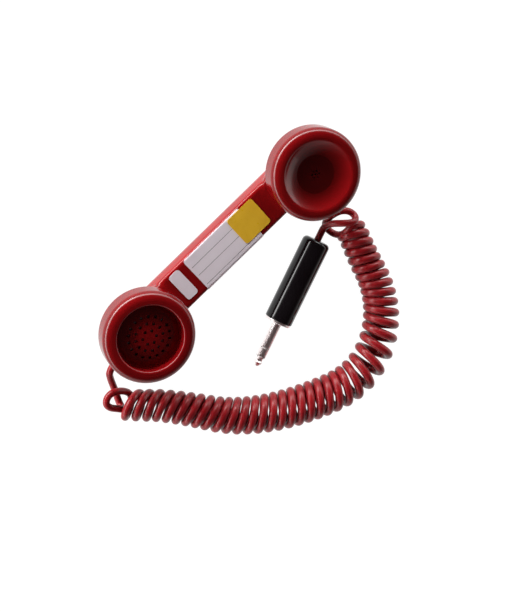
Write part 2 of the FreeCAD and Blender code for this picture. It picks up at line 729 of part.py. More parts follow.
def inner_wiring():
    """The cord's three wires to the mouth terminals, and two leads through the duct to the ear terminals."""
    place = cord_place()
    height = worth(EXIT_HEIGHT)
    mouth_under = worth(f"{SEATS[1]} - screw_head")
    ear_under = worth(f"{SEATS[0]} - screw_head")
    offset = size("screw_offset")
    side = size("strand_side")
    spread = size("strand_spread")
    inner = worth(CLAMP_START) - size("cord_past_clamp")
    mouth = -size("cup_spacing") / 2
    ear = size("cup_spacing") / 2
    climb = size("lead_climb")
    routes = []
    third = size("third_screw_offset")
    for number, (x, y) in enumerate(((-third, 0), (offset - side, offset), (offset - side, -offset))):
        turn = math.pi / 2 - number * 2 * math.pi / 3
        across, up = spread * math.cos(turn), spread * math.sin(turn)
        routes.append([place.multVec(Vector(inner, across, up)),
                       place.multVec(Vector(inner - 2 * side, across, up)),
                       Vector(mouth + x, y, mouth_under - climb),
                       Vector(mouth + x, y, mouth_under)])
    wires("cord_conductors", routes)
    lane = size("lead_offset")
    leads = []
    for way, stop in ((1, -offset), (-1, offset)):
        leads.append([Vector(mouth + offset + side, way * offset, mouth_under),
                      Vector(mouth + offset + side, way * offset, mouth_under - climb),
                      Vector(mouth + 2 * offset, way * lane, height),
                      Vector(ear + stop - offset, way * lane, height),
                      Vector(ear + stop, 0, ear_under - climb),
                      Vector(ear + stop, 0, ear_under)])
    wires("receiver_leads", leads)
    foam = box("foam", "-foam_length / 2", "foam_length / 2", "-duct_width / 2", "duct_width / 2", "duct_floor",
               EXIT_HEIGHT + " - strand_radius - foam_gap")
    piece("damping_foam", foam)


def plug_place():
    """A frame on the plug's axis whose X runs from the back of the barrel to the tip."""
    turn = FreeCAD.Rotation(Vector(0, 0, 1), size("plug_angle"))
    return FreeCAD.Placement(Vector(size("plug_rear_x"), size("plug_rear_y"), size("barrel_radius")), turn)


def round_at(place, radius):
    """Picks the circle of this radius that lies square to X at this place."""
    def wanted(edge):
        room = edge.BoundBox
        return (room.XLength < 0.01 and abs(room.XMin - place) < 0.01
                and abs(room.ZLength - 2 * radius) < 0.02)
    return wanted


def plug_piece(label, thing):
    return piece(label, thing, plug_place())


def lined_tube(label, disc, outer, inner, back, front, disc_low, disc_high):
    """A disc or ring in the shank with a tube that runs back from it to the terminals."""
    body = fuse(label + "_whole", rod(label + "_disc", disc, disc_low, disc_high),
                rod(label + "_tube", outer, back, front))
    return plug_piece(label, cut(label + "_cut", body, rod(label + "_bore", inner, back, disc_high)))


def plug_barrel():
    radius = size("barrel_radius")
    outside = rod("barrel_outside", "barrel_radius", "0", "barrel_length")
    back = rounded("barrel_back", outside, size("barrel_round"), round_at(0, radius))
    front = rounded("barrel_front", back, size("barrel_mouth_round"), round_at(size("barrel_length"), radius))
    bore = rod("barrel_bore", "base_radius + running_fit", "barrel_rear_wall", "barrel_length")
    hole = rod("barrel_cord_hole", "cord_hole_radius", "0", "barrel_rear_wall")
    plug_piece("plug_barrel", cut("barrel", front, bore, hole))
    outer = "base_radius + running_fit - liner_fit"
    low = "barrel_rear_wall + liner_fit"
    plug_piece("plug_liner", cut("liner", rod("liner_outside", outer, low, f"{low} + liner_length"),
                                 rod("liner_inside", f"{outer} - liner_wall", low, f"{low} + liner_length")))


def plug_shank():
    base_low = "barrel_length - base_length"
    block_low = f"{base_low} - block_length"
    shoulder_low = "barrel_length + running_fit"
    shank_low = f"{shoulder_low} + shoulder_length"
    sleeve_high = f"{shank_low} + sleeve_length"
    ring_low = f"{sleeve_high} + insulator_length"
    ring_high = f"{ring_low} + ring_length"
    tip_low = f"{ring_high} + insulator_length"
    shoulder = rod("shoulder", "shoulder_radius", shoulder_low, shank_low)
    rim = size("barrel_length") + size("running_fit") + size("shoulder_length")
    shoulder = rounded("shoulder_rounded", shoulder, size("shoulder_round"), round_at(rim, size("shoulder_radius")))
    sleeve = fuse("sleeve_blank", rod("sleeve_base", "base_radius", base_low, shoulder_low), shoulder,
                  rod("sleeve_shank", "shank_radius", shank_low, sleeve_high))
    plug_piece("plug_sleeve", cut("sleeve", sleeve, rod("sleeve_bore_tool", "sleeve_bore", base_low, sleeve_high)))
    lined_tube("plug_rear_insulator", "insulator_radius", "sleeve_bore", "ring_tube_radius",
               base_low, sleeve_high, sleeve_high, ring_low)
    lined_tube("plug_ring", "shank_radius", "ring_tube_radius", "ring_bore",
               f"{block_low} - lug_thickness", ring_low, ring_low, ring_high)
    lined_tube("plug_front_insulator", "insulator_radius", "ring_bore", "rod_radius",
               f"{block_low} - stack_step", ring_high, ring_high, tip_low)
    plug_tip(tip_low, f"{block_low} - stack_step - lug_thickness")
    plug_piece("plug_terminal_block", cut("terminal_block", rod("block", "block_radius", block_low, base_low),
                                          rod("block_bore", "ring_tube_radius", block_low, base_low)))
    plug_piece("plug_terminal_washer",
               cut("terminal_washer",
                   rod("washer", "lug_washer_radius", f"{block_low} - stack_step", f"{block_low} - lug_thickness"),
                   rod("washer_bore", "ring_bore", f"{block_low} - stack_step", f"{block_low} - lug_thickness")))
    lug("plug_ring_lug", "ring_tube_radius", block_low, "0", "lug_reach")
    lug("plug_tip_lug", "rod_radius", f"{block_low} - stack_step", "-lug_reach", "0")
    cord_clamp(base_low)
    plug_wiring()


def taper(name, low_radius, high_radius, low, high):
    """A cone that lies along X, with its radius at each end."""
    thing = doc.addObject("Part::Cone", name)
    thing.Placement = FreeCAD.Placement(Vector(), FreeCAD.Rotation(Vector(0, 1, 0), 90))
    bind(thing, Radius1=low_radius, Radius2=high_radius, Height=f"({high}) - ({low})", Placement__Base__x=low)
    return thing


def plug_tip(low, back):
    """The turned point: a waist behind a crown, then a cone to a blunt end."""
    high = "barrel_length + running_fit + shoulder_length + shank_length"
    waist_low = f"{low} + tip_waist_step"
    waist_high = f"{low} + 2 * tip_waist_step"
    crown = f"{low} + 3 * tip_waist_step"
    point = f"{high} - tip_point_length"
    plug_piece("plug_tip", fuse(
        "tip",
        rod("tip_rod", "rod_radius", back, waist_low),
        taper("tip_neck", "insulator_radius", "tip_waist_radius", low, waist_low),
        rod("tip_waist", "tip_waist_radius", waist_low, waist_high),
        taper("tip_rise", "tip_waist_radius", "tip_crown_radius", waist_high, crown),
        taper("tip_cone", "tip_crown_radius", "tip_point_radius", crown, point),
        taper("tip_end", "tip_point_radius", "tip_point_radius / 2", point, high)))


def lug(label, bore, front, y_low, y_high):
    """A solder lug: a washer round its tube and a tab to one side."""
    back = f"{front} - lug_thickness"
    washer = rod(label + "_washer", "lug_washer_radius", back, front)
    tab = box(label + "_tab", back, front, y_low, y_high, "-lug_half_width", "lug_half_width")
    return plug_piece(label, cut(label + "_cut", fuse(label + "_blank", washer, tab),
                                 rod(label + "_bore", bore, back, front)))


def cord_clamp(base_low):
    """The long lug of the sleeve, with a crimped loop round the cord."""
    crimp_high = "crimp_place + clamp_length"
    strip_high = "-block_radius - running_fit"
    strip = box("clamp_strip", "crimp_place", base_low, "-lug_half_width", "lug_half_width",
                f"{strip_high} - lug_thickness", strip_high)
    web = box("clamp_web", "crimp_place", crimp_high, "-lug_thickness / 2", "lug_thickness / 2",
              strip_high, "0")
    loop = rod("clamp_loop", "wire_diameter / 2 + clamp_thickness", "crimp_place", crimp_high)
    bore = rod("clamp_bore", "wire_diameter / 2", "crimp_place", crimp_high)
    plug_piece("plug_cord_clamp", cut("plug_clamp", fuse("plug_clamp_blank", strip, web, loop), bore))


def plug_wiring():
    place = plug_place()
    start = size("crimp_place") + size("clamp_length") + size("crimp_margin")
    block_low = size("barrel_length") - size("base_length") - size("block_length")
    ring_stop = block_low - size("lug_thickness")
    tip_stop = ring_stop - size("stack_step")
    spread = size("strand_spread")
    hold = size("lug_hold")
    strip = -size("block_radius") - size("running_fit")
    side = size("strand_side")
    routes = [
        [(start, spread, 0), (start + side, spread, 0), (ring_stop - 2 * side, hold, 0), (ring_stop, hold, 0)],
        [(start, -spread, 0), (start + side / 2, -spread, 0), (tip_stop - side, -hold, 0), (tip_stop, -hold, 0)],
        [(start, 0, -spread), (start + side, 0, -spread), (start + 2 * side, 0, strip + 2 * side),
         (start + 2 * side, 0, strip)]]
    wires("plug_conductors", [[place.multVec(Vector(*point)) for point in route] for route in routes])


# The cord's free stretch between the mouth cup and the curls
LEAD_ROUTE = [(-106.2, -14.0, 8.0)]
# The loose first turn: down through its own ring to the floor, up and round, and on to the regular turns
START_ROUTE = [(-109.6, -23.6, 4.2), (-113.0, -31.2, 2.6), (-114.2, -34.2, 3.8), (-114.8, -35.6, 7.1),
               (-115.3, -34.1, 10.2), (-116.8, -31.0, 11.6), (-119.5, -27.2, 12.2), (-119.6, -23.0, 12.9),
               (-116.0, -20.2, 13.3), (-111.4, -20.6, 12.5), (-107.6, -24.2, 10.5), (-105.2, -29.0, 7.5),
               (-104.9, -34.0, 4.2)]
# The curly cord's axis, seen from above, by hand from the photograph
CURL_AXIS = [(-111.1, -34.4), (-105, -41.3), (-96, -51), (-84, -68), (-71, -89), (-51, -107.5), (-26, -122.5),
             (1, -134), (26, -130.5), (46, -115.5), (57.5, -96.5), (62, -75), (65, -64), (65.7, -59)]
# The loose last turn and the tail that runs over it to the plug
TAIL_ROUTE = [(58.5, -50.5, 11), (57.5, -45.5, 4.5), (63, -41.8, 2.6), (70.5, -42, 7), (74, -46, 13),
              (71.5, -49.2, 17.5), (65.5, -47.6, 18), (60.1, -44.1, 13.0)]
CURL_START = -math.pi / 2
CURL_FINISH = math.pi / 2


class Curl:
    """The curly cord's helix: a place for each distance along its axis."""

    def __init__(self):
        poles = [Vector(x, y, 0) for x, y in CURL_AXIS]
        count = len(poles)
        knots = list(range(count - 1))
        self.axis = Part.BSplineCurve()
        self.axis.buildFromPolesMultsKnots(poles, [3] + [1] * (count - 3) + [3], knots, False, 2)
        self.length = self.axis.length()
        self.steps = 600
        density = [1 / self.pitch(self.length * number / self.steps) for number in range(self.steps + 1)]
        self.turned = [0.0]
        for before, after in zip(density, density[1:]):
            self.turned.append(self.turned[-1] + (before + after) / 2)
        part_turn = (CURL_START - CURL_FINISH) / (2 * math.pi) % 1
        self.turns = size("curl_turns") + part_turn

    def pitch(self, distance):
        share = distance / self.length
        base = size("curl_pitch_start") * (1 - share) + size("curl_pitch_end") * share
        off = (share - size("curl_fan_place")) * self.length / size("curl_fan_spread")
        return base + size("curl_fan") * math.exp(-off ** 2)

    def phase(self, distance):
        place = min(max(distance / self.length, 0), 1) * self.steps
        low = min(int(place), self.steps - 1)
        turned = self.turned[low] + (self.turned[low + 1] - self.turned[low]) * (place - low)
        return CURL_START - 2 * math.pi * self.turns * turned / self.turned[-1]

    def distance_at(self, phase):
        low, high = 0.0, self.length
        for _ in range(50):
            middle = (low + high) / 2
            if self.phase(middle) > phase:
                low = middle
            else:
                high = middle
        return (low + high) / 2

    def diameter(self, distance):
        swell = max(math.sin(math.pi * distance / self.length), 0) ** size("curl_swell_power")
        return size("curl_end_diameter") + size("curl_swell") * swell

    def lean(self, distance):
        share = distance / self.length
        return size("curl_start_lean") * (1 - share) + size("curl_finish_lean") * share

    def place(self, distance):
        parameter = self.axis.parameterAtDistance(distance, 0)
        centre = self.axis.value(parameter)
        along = self.axis.tangent(parameter)[0]
        inward = Vector(-along.y, along.x, 0)
        diameter = self.diameter(distance)
        radius = (diameter - size("wire_diameter")) / 2
        phase = self.phase(distance)
        spot = centre + inward * (radius * math.cos(phase))
        spot += along * (size("curl_side_lean") * math.cos(phase) + self.lean(distance) * math.sin(phase))
        spot.z = diameter / 2 + size("floor_gap") + radius * math.sin(phase)
        return spot

    def heading(self, distance):
        step = 0.02
        low = max(distance - step, 0)
        high = min(distance + step, self.length)
        return (self.place(high) - self.place(low)).normalize()


def arc_middle(start, way, stop):
    """The middle of the arc that leaves start along way and ends at stop."""
    chord = stop - start
    along = Vector(chord).normalize()
    side = (way - along * way.dot(along)).normalize()
    return (start + stop) / 2 + side * (chord.Length / 2 * math.tan(way.getAngle(chord) / 2))


def biarc(start, way, stop, stop_way):
    """Two arcs that leave start along way and reach stop along stop_way."""
    chord = stop - start
    both = way + stop_way
    square = 2 * (1 - way.dot(stop_way))
    reach = (math.sqrt(chord.dot(both) ** 2 + square * chord.dot(chord)) - chord.dot(both)) / square
    meet = (start + way * reach + stop - stop_way * reach) / 2
    return [Part.Arc(start, arc_middle(start, way, meet), meet).toShape(),
            Part.Arc(meet, arc_middle(stop, stop_way * -1, meet), stop).toShape()]


def through(points, first_way, last_way):
    """Arcs through the points, each passed along the line between its two neighbours."""
    ways = [(after - before).normalize() for before, after in zip(points, points[2:])]
    ways = [first_way] + ways + [last_way]
    edges = []
    for number in range(len(points) - 1):
        edges += biarc(points[number], ways[number], points[number + 1], ways[number + 1])
    return edges


def least_gap(points, step, diameter):
    """The least gap between the tube and itself, three diameters or more away along it."""
    skip = int(3 * diameter / step)
    reach = 12 * skip
    least = min((other - point).Length for number, point in enumerate(points)
                for other in points[number + skip:number + reach])
    return least - diameter


def cord():
    """The lead from the mouth cup, and the curls, whose tail runs into the plug."""
    curl = Curl()
    diameter = size("wire_diameter")
    stops = [curl.distance_at(CURL_START - math.pi * number) for number in range(int(2 * curl.turns) + 1)]
    stops[0] = 0.0
    stops[-1] = curl.length
    places = [curl.place(stop) for stop in stops]
    ways = [curl.heading(stop) for stop in stops]
    ways[0] = Vector(ways[0].x, ways[0].y, 0).normalize()
    loose = [Vector(*point) for point in START_ROUTE]
    lead_way = (loose[1] - loose[0]).normalize()
    lead_end = loose[0]
    loose[0] = lead_end + lead_way * diameter
    plug = plug_place()
    into_plug = plug.Rotation.multVec(Vector(1, 0, 0))
    behind_plug = plug.multVec(Vector(-size("barrel_travel") - 0.5, 0, 0))
    tail = [places[-1]] + [Vector(*point) for point in TAIL_ROUTE] + [behind_plug]
    last = plug.multVec(Vector(size("crimp_place") + size("clamp_length") + size("crimp_margin"), 0, 0))
    edges = [Part.LineSegment(lead_end, loose[0]).toShape()]
    edges += through(loose + [places[0]], lead_way, ways[0])
    for number in range(len(places) - 1):
        edges += biarc(places[number], ways[number], places[number + 1], ways[number + 1])
    edges += through(tail, ways[-1], into_plug)
    edges.append(Part.LineSegment(behind_plug, last).toShape())
    wire = Part.Wire(edges)
    solid = tube(wire, diameter / 2)
    step = 0.5
    points = wire.discretize(Distance=step)
    lowest = min(point.z for point in points) - diameter / 2
    radii = [edge.Curve.Radius for edge in edges if hasattr(edge.Curve, "Radius")]
    expected = math.pi * diameter ** 2 / 4 * wire.Length
    print(f"cord_curls: axis {curl.length:.1f}, turns {curl.turns:.2f}, wire {wire.Length:.0f}, "
          f"least gap {least_gap(points, step, diameter):.2f}, least radius {min(radii):.2f}, "
          f"lowest {lowest:.2f}, volume share {solid.Volume / expected:.4f}")
    piece("cord_curls", feature("cord_curls_tube", solid))
    exit_frame = cord_place()
    inner = worth(CLAMP_START) - size("cord_past_clamp")
    route = [exit_frame.multVec(Vector(inner, 0, 0)),
             exit_frame.multVec(Vector(inner + size("cord_first_run"), 0, 0))]
    route += [Vector(*point) for point in LEAD_ROUTE]
    route += [lead_end - lead_way * size("cord_last_run"), lead_end]
    path, lead_radii = tangent_path(route)
    lead = tube(path, diameter / 2)
    expected = math.pi * diameter ** 2 / 4 * path.Length
    print(f"cord_handset_lead: length {path.Length:.1f}, radii {lead_radii}, "
          f"volume share {lead.Volume / expected:.4f}")
    piece("cord_handset_lead", feature("cord_handset_lead_tube", lead))


handle_shell()
receiver_cap()
transmitter_cap()
gasket("receiver_gasket", CUPS[0][1], CUPS[0][2])
gasket("transmitter_gasket", CUPS[1][1], CUPS[1][2])
receiver()
transmitter()
white_label()
flat_label("label_yellow", "yellow_low", "yellow_high", "yellow_width", "yellow_offset", "label_thickness")
flat_label("label_small", "small_low", "small_high", "small_width", "small_offset", "0")
grommet()
anchor()
inner_wiring()
plug_barrel()
plug_shank()
cord()
doc.recompute()

for thing in doc.Objects:
    if {"Invalid", "Error"} & set(thing.State):
        raise RuntimeError(f"{thing.Name} failed: {thing.State}")
for label, thing in pieces.items():
    shape = thing.Shape
    if shape.isNull() or not shape.isValid() or not shape.Solids:
        raise RuntimeError(label + " has no valid solid")

os.makedirs("parts", exist_ok=True)
for label, thing in pieces.items():
    thing.Shape.exportStep(f"parts/{label}.step")
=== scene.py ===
import json
import math
from bisect import bisect_left

import bmesh
import bpy
from mathutils import Matrix, Vector

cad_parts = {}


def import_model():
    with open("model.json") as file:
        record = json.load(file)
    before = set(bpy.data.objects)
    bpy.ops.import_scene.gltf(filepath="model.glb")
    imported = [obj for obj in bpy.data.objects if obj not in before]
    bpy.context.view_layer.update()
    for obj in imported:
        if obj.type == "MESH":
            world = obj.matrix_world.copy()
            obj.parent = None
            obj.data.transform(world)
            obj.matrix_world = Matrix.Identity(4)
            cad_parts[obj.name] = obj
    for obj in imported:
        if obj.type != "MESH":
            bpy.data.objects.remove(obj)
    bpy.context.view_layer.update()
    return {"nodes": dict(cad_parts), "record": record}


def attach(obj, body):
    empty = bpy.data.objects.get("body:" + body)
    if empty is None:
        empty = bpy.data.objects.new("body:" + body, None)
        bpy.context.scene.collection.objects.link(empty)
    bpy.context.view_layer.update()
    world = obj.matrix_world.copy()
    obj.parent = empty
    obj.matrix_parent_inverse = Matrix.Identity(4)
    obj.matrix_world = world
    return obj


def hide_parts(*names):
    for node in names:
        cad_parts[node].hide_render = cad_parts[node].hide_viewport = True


# The finish, the cord and the studio of the portable fire telephone handset.
# Sizes of the part are in millimetres, and MM turns them into metres.

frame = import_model()
nodes = frame["nodes"]
MM = 0.001
CUP_SPACING = 141.0


# Shader nodes

# Most of a noise lies between these values.
NOISE_LOW = 0.3
NOISE_HIGH = 0.7


class Nodes:
    """Short words for building a node tree."""

    def __init__(self, tree):
        self.tree = tree

    def add(self, kind, **settings):
        node = self.tree.nodes.new(kind)
        for word, value in settings.items():
            if word in node.inputs:
                node.inputs[word].default_value = value
            else:
                setattr(node, word, value)
        return node

    def link(self, output, target):
        self.tree.links.new(output, target)

    def math(self, operation, first, second=None, third=None, clamp=False):
        node = self.add("ShaderNodeMath", operation=operation, use_clamp=clamp)
        for place, value in enumerate((first, second, third)):
            if isinstance(value, (int, float)):
                node.inputs[place].default_value = value
            elif value is not None:
                self.link(value, node.inputs[place])
        return node.outputs[0]

    def scaled(self, vector, factor):
        node = self.add("ShaderNodeVectorMath", operation="SCALE")
        self.link(vector, node.inputs[0])
        self.link(factor, node.inputs["Scale"])
        return node.outputs[0]

    def ramp(self, value, stops):
        node = self.add("ShaderNodeValToRGB")
        elements = node.color_ramp.elements
        while len(elements) < len(stops):
            elements.new(0.5)
        for element, (place, colour) in zip(elements, stops):
            element.position = place
            element.color = (*colour, 1)
        self.link(value, node.inputs["Fac"])
        return node.outputs["Color"]

    def parts(self, vector):
        """The X, Y and Z of a vector."""
        node = self.add("ShaderNodeSeparateXYZ")
        self.link(vector, node.inputs[0])
        return node.outputs

    def place(self):
        """Object coordinates, which are the part's own metres because every object sits at the origin."""
        return self.add("ShaderNodeTexCoord").outputs["Object"]

    def noise(self, scale, detail=3.0, roughness=0.5):
        node = self.add("ShaderNodeTexNoise", Scale=scale, Detail=detail, Roughness=roughness)
        self.link(self.place(), node.inputs["Vector"])
        return node.outputs["Fac"]

    def spread(self, value, value_low, value_high, low, high, **settings):
        """Brings a value from between value_low and value_high to between low and high."""
        node = self.add("ShaderNodeMapRange", **settings)
        limits = {"From Min": value_low, "From Max": value_high, "To Min": low, "To Max": high}
        for name, limit in limits.items():
            node.inputs[name].default_value = limit
        self.link(value, node.inputs["Value"])
        return node.outputs["Result"]

    def vary(self, noise, low, high):
        return self.spread(noise, NOISE_LOW, NOISE_HIGH, low, high)

    def tones(self, noise, first, second):
        return self.ramp(noise, [(NOISE_LOW, first), (NOISE_HIGH, second)])


# Camera, floor and light

PHOTO_WIDTH = 510
FOCAL_PIXELS = 1600
SENSOR_WIDTH = 36
CAMERA_PLACE = (-52.38, 362.59, 935.73)
CAMERA_RIGHT = (0.7143, -0.6271, 0.31068)
CAMERA_DOWN = (-0.69858, -0.66556, 0.26272)
CAMERA_FORWARD = (0.04203, -0.40469, -0.91349)

FLOOR_REACH = 3.0
FLOOR_GREY = 0.8
FAINT_GREY = 0.1

# Light from low all round, by the sine of its height, and a dim ceiling
BAND = [(0.0, 0.7), (0.05, 1.0), (0.24, 0.95), (0.33, 0.06), (0.45, 0.0), (1.0, 0.0)]
BAND_STRENGTH = 14.0
BAND_FALL = 1.4
CEILING = [(0.0, (0.5, 0.48, 0.48)), (0.4, (0.3, 0.27, 0.27)), (0.6, (0.06, 0.04, 0.04)),
           (1.0, (0.05, 0.028, 0.028))]
LAMP_TARGET = (0, 0, 0.02)


def camera():
    data = bpy.data.cameras.new("camera")
    data.sensor_fit = "HORIZONTAL"
    data.sensor_width = SENSOR_WIDTH
    data.lens = SENSOR_WIDTH * FOCAL_PIXELS / PHOTO_WIDTH
    seen_from = bpy.data.objects.new("camera", data)
    columns = (Vector(CAMERA_RIGHT), -Vector(CAMERA_DOWN), -Vector(CAMERA_FORWARD))
    turned = Matrix(columns).transposed().to_4x4()
    seen_from.matrix_world = Matrix.Translation(Vector(CAMERA_PLACE) * MM) @ turned
    bpy.context.collection.objects.link(seen_from)
    bpy.context.scene.camera = seen_from


def grey(value):
    return (value, value, value, 1)


def floor():
    """A floor that is pale to the light, and white to the camera, reflections and glass."""
    material = bpy.data.materials.new("floor")
    material.use_nodes = True
    material.node_tree.nodes.clear()
    tree = Nodes(material.node_tree)
    path = tree.add("ShaderNodeLightPath").outputs
    seen = tree.math("MAXIMUM", path["Is Camera Ray"], path["Is Glossy Ray"])
    seen = tree.math("MAXIMUM", seen, path["Is Transmission Ray"])
    pale = tree.add("ShaderNodeBsdfDiffuse", Color=grey(FLOOR_GREY))
    faint = tree.add("ShaderNodeBsdfDiffuse", Color=grey(FAINT_GREY))
    white = tree.add("ShaderNodeEmission", Color=grey(1), Strength=1.0)
    both = tree.add("ShaderNodeAddShader")
    tree.link(faint.outputs[0], both.inputs[0])
    tree.link(white.outputs[0], both.inputs[1])
    mix = tree.add("ShaderNodeMixShader")
    tree.link(seen, mix.inputs[0])
    tree.link(pale.outputs[0], mix.inputs[1])
    tree.link(both.outputs[0], mix.inputs[2])
    output = tree.add("ShaderNodeOutputMaterial")
    tree.link(mix.outputs[0], output.inputs["Surface"])
    mesh = bpy.data.meshes.new("floor")
    corners = [(x * FLOOR_REACH, y * FLOOR_REACH, 0) for x, y in ((-1, -1), (1, -1), (1, 1), (-1, 1))]
    mesh.from_pydata(corners, [], [(0, 1, 2, 3)])
    mesh.materials.append(material)
    plane = bpy.data.objects.new("floor", mesh)
    bpy.context.collection.objects.link(plane)


def world():
    """Light that comes in low all round, brightest from the +Y side, under a dim ceiling."""
    studio = bpy.data.worlds.new("studio")
    bpy.context.scene.world = studio
    studio.use_nodes = True
    studio.node_tree.nodes.clear()
    tree = Nodes(studio.node_tree)
    _, toward, height = tree.parts(tree.add("ShaderNodeTexCoord").outputs["Generated"])
    side = tree.math("POWER", tree.math("MULTIPLY_ADD", toward, 0.5, 0.5, clamp=True), BAND_FALL)
    band = tree.ramp(height, [(place, (level, level, level)) for place, level in BAND])
    total = tree.add("ShaderNodeVectorMath", operation="ADD")
    tree.link(tree.scaled(band, tree.math("MULTIPLY", side, BAND_STRENGTH)), total.inputs[0])
    tree.link(tree.ramp(height, CEILING), total.inputs[1])
    light = tree.add("ShaderNodeBackground")
    tree.link(total.outputs[0], light.inputs["Color"])
    white = tree.add("ShaderNodeBackground", Color=grey(1), Strength=1.0)
    mix = tree.add("ShaderNodeMixShader")
    tree.link(tree.add("ShaderNodeLightPath").outputs["Is Camera Ray"], mix.inputs[0])
    tree.link(light.outputs[0], mix.inputs[1])
    tree.link(white.outputs[0], mix.inputs[2])
    output = tree.add("ShaderNodeOutputWorld")
    tree.link(mix.outputs[0], output.inputs["Surface"])


def lamp(name, place, size, power, colour=(1, 1, 1)):
    """A soft rectangular lamp turned to the part, with its place and size in metres."""
    data = bpy.data.lights.new(name, "AREA")
    data.shape = "RECTANGLE"
    data.size, data.size_y = size
    data.energy = power
    data.color = colour
    lit = bpy.data.objects.new(name, data)
    turned = (Vector(LAMP_TARGET) - Vector(place)).to_track_quat("-Z", "Y").to_matrix().to_4x4()
    lit.matrix_world = Matrix.Translation(Vector(place)) @ turned
    bpy.context.collection.objects.link(lit)


def lamps():
    lamp("strip", place=(0.1, 1.2, 0.16), size=(1.1, 0.16), power=6.0)
    lamp("side_panel", place=(0.75, -1.1, 0.28), size=(0.9, 0.45), power=0.6, colour=(1.0, 0.9, 0.86))


# Materials

# Name: colour, second tone, roughness and shine
PLASTICS = {
    "red_caps": ((0.16, 0.0022, 0.003), (0.135, 0.0018, 0.0026), 0.11, 0.36),
    "red_plastic": ((0.25, 0.0035, 0.0045), (0.21, 0.0028, 0.0036), 0.14, 0.36),
    "black_plastic": ((0.006, 0.005, 0.006), (0.004, 0.003, 0.004), 0.1, 0.4),
}
# Name: colour and roughness
METALS = {
    "nickel": ((1.0, 0.94, 0.93), 0.34),
    "aluminium": ((0.75, 0.75, 0.76), 0.3),
    "steel": ((0.6, 0.6, 0.6), 0.25),
    "copper": ((0.7, 0.32, 0.16), 0.3),
    "brass": ((0.75, 0.58, 0.28), 0.22),
}
# Name: colour, second tone, roughness, grains a metre and their depth in metres
MATT = {
    "insulator": ((0.85, 0.82, 0.8), (0.78, 0.75, 0.73), 0.35, 900.0, 0.0001),
    "rubber": ((0.02, 0.02, 0.02), (0.012, 0.012, 0.012), 0.7, 1200.0, 0.0003),
    "magnet": ((0.08, 0.08, 0.085), (0.05, 0.05, 0.055), 0.5, 1500.0, 0.0003),
    "film": ((0.5, 0.45, 0.3), (0.42, 0.36, 0.22), 0.3, 500.0, 0.0002),
    "wire": ((0.06, 0.08, 0.4), (0.04, 0.05, 0.3), 0.4, 1500.0, 0.0001),
    "foam": ((0.2, 0.2, 0.21), (0.1, 0.1, 0.11), 0.9, 1500.0, 0.0012),
}
CORD_RED = (0.27, 0.008, 0.011)
CORD_SHADE = (0.21, 0.005, 0.008)
YELLOW = (0.93, 0.58, 0.036)
YELLOW_SHADE = (0.84, 0.5, 0.028)
PAPER = (0.86, 0.8, 0.86)
PAPER_LIGHT = (0.93, 0.87, 0.93)
INK = (0.12, 0.11, 0.12)

# Painted shade in the middle of the ear dish, where its rim shades it: full within the first radius, gone
# by the second, in millimetres, and the colour's factor at the middle
PAINTED_SHADE_RADIUS = 8.0
SHADE_FREE_RADIUS = 21.0
PAINTED_SHADE_FACTOR = 0.5

RULES = (5.15, -1.45, -9.45)
RULE_HALF_WIDTH = 0.16
RULES_LOW = -22.6
RULES_HIGH = 23.0
LABEL_FACE_HEIGHT = 20.5


def principled(name, colour, **settings):
    material = bpy.data.materials.new(name)
    material.use_nodes = True
    shader = material.node_tree.nodes["Principled BSDF"]
    shader.inputs["Base Color"].default_value = (*colour, 1)
    for word, value in settings.items():
        shader.inputs[word.replace("_", " ")].default_value = value
    return material, Nodes(material.node_tree), shader.inputs


def bump(tree, inputs, height, strength, distance):
    node = tree.add("ShaderNodeBump", Strength=strength, Distance=distance)
    tree.link(height, node.inputs["Height"])
    tree.link(node.outputs["Normal"], inputs["Normal"])


def plastic(name, colour, shade, gloss, shine):
    """Polished moulded plastic with a slight unevenness and fine handling marks."""
    material, tree, inputs = principled(name, colour, Roughness=gloss, Specular_IOR_Level=shine)
    tree.link(tree.tones(tree.noise(60.0, 4.0), shade, colour), inputs["Base Color"])
    marks = tree.noise(900.0, 5.0, 0.65)
    tree.link(tree.vary(marks, gloss * 0.8, gloss * 1.4), inputs["Roughness"])
    bump(tree, inputs, tree.noise(240.0, 2.0), 0.05, 0.0004)
    return material


def paint_ear_dish_shade(material):
    """Paints shade into the caps' plastic toward the middle of the ear dish, where the dish's rim shades
    it, as in the photograph.
    """
    tree = Nodes(material.node_tree)
    colour = material.node_tree.nodes["Principled BSDF"].inputs["Base Color"]
    plain = colour.links[0].from_socket
    x, y, _ = tree.parts(tree.place())
    along = tree.math("SUBTRACT", x, CUP_SPACING / 2 * MM)
    squares = tree.math("ADD", tree.math("MULTIPLY", along, along), tree.math("MULTIPLY", y, y))
    # The painted shade: the caps' colour is scaled down toward the middle of the ear dish
    shade = tree.spread(tree.math("SQRT", squares), PAINTED_SHADE_RADIUS * MM, SHADE_FREE_RADIUS * MM, PAINTED_SHADE_FACTOR, 1.0,
                        interpolation_type="SMOOTHSTEP")
    tree.link(tree.scaled(plain, shade), colour)


def metal(name, colour, gloss):
    material, tree, inputs = principled(name, colour, Metallic=1.0, Roughness=gloss)
    tree.link(tree.vary(tree.noise(2500.0), gloss * 0.85, gloss * 1.2), inputs["Roughness"])
    bump(tree, inputs, tree.noise(2500.0, 2.0), 0.02, 0.0001)
    return material


def matt(name, colour, shade, gloss, grain, depth):
    material, tree, inputs = principled(name, colour, Roughness=gloss)
    tree.link(tree.tones(tree.noise(grain, 4.0), shade, colour), inputs["Base Color"])
    bump(tree, inputs, tree.noise(grain * 2), 0.4, depth)
    return material


def cord_vinyl():
    """Soft cord jacket: half glossy, with a fine drawn grain and slight patches."""
    material, tree, inputs = principled("cord_vinyl", CORD_RED, Roughness=0.3, Specular_IOR_Level=0.3)
    tree.link(tree.tones(tree.noise(140.0, 4.0), CORD_SHADE, CORD_RED), inputs["Base Color"])
    tree.link(tree.vary(tree.noise(420.0, 4.0, 0.6), 0.26, 0.4), inputs["Roughness"])
    bump(tree, inputs, tree.noise(1600.0), 0.25, 0.0002)
    return material


